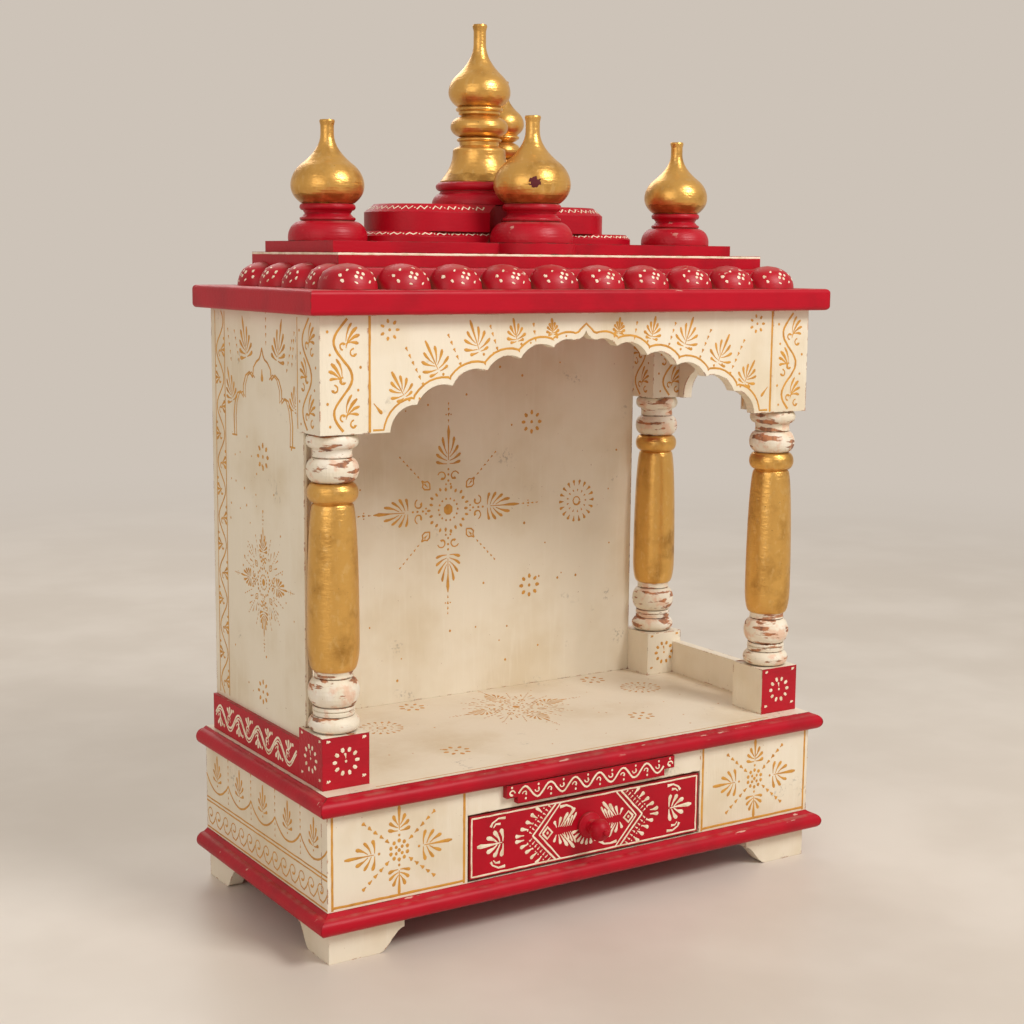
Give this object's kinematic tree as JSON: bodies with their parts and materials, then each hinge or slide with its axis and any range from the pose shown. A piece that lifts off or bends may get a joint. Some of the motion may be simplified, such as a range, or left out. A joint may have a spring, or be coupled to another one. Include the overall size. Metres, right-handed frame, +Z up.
{
  "type": "wooden home temple",
  "caption": "Painted wooden home shrine with a drawer base, turned columns, scalloped arches, closed back and left side, and a stepped roof with turned finials.",
  "frame": {"origin": "on the ground, under the middle of the whole temple with its drawer knob", "axes": "+Z up, -Y towards the open front with the drawer, +X to the right as one faces the front"},
  "size_m": [0.626, 0.3244, 0.908],
  "materials": {
    "cream_painted_wood": "satin paint with ochre hand painting",
    "red_painted_wood": "satin paint",
    "gold_painted_wood": "satin metallic paint"
  },
  "bodies": {
    "temple": {"foot_front_left": "cream_painted_wood", "foot_front_right": "cream_painted_wood", "foot_back_left": "cream_painted_wood", "foot_back_right": "cream_painted_wood", "bottom_board": "red_painted_wood", "lower_moulding_front": "red_painted_wood", "lower_moulding_left": "red_painted_wood", "lower_moulding_right": "red_painted_wood", "base_front_left": "cream_painted_wood", "base_front_right": "cream_painted_wood", "drawer_surround": "cream_painted_wood", "plaque": "red_painted_wood", "base_left": "cream_painted_wood", "base_right": "cream_painted_wood", "base_back": "cream_painted_wood", "drawer_runners": "cream_painted_wood", "upper_moulding_front": "red_painted_wood", "upper_moulding_left": "red_painted_wood", "upper_moulding_right": "red_painted_wood", "floor_board": "cream_painted_wood", "column_front_left": "gold_painted_wood", "column_front_right": "gold_painted_wood", "column_back_right": "gold_painted_wood", "left_panel": "cream_painted_wood", "back_panel": "cream_painted_wood", "left_strip": "red_painted_wood", "right_rail": "cream_painted_wood", "front_arch": "cream_painted_wood", "right_arch": "cream_painted_wood", "roof_slab": "red_painted_wood", "petal_ring": "red_painted_wood", "lower_tier": "red_painted_wood", "upper_tier": "red_painted_wood", "lower_disc": "red_painted_wood", "upper_disc": "red_painted_wood", "finial_left": "gold_painted_wood", "finial_right": "gold_painted_wood", "finial_front": "gold_painted_wood", "finial_back": "gold_painted_wood", "finial_middle": "gold_painted_wood"},
    "drawer": {"drawer_front": "red_painted_wood", "drawer_sides": "cream_painted_wood", "drawer_back": "cream_painted_wood", "drawer_bottom": "cream_painted_wood", "drawer_knob": "red_painted_wood"}
  },
  "joints": [
    {"name": "drawer_slide", "type": "slide", "parent": "temple", "child": "drawer", "axis": [0, -1, 0], "range_m": [0, 0.18]}
  ]
}
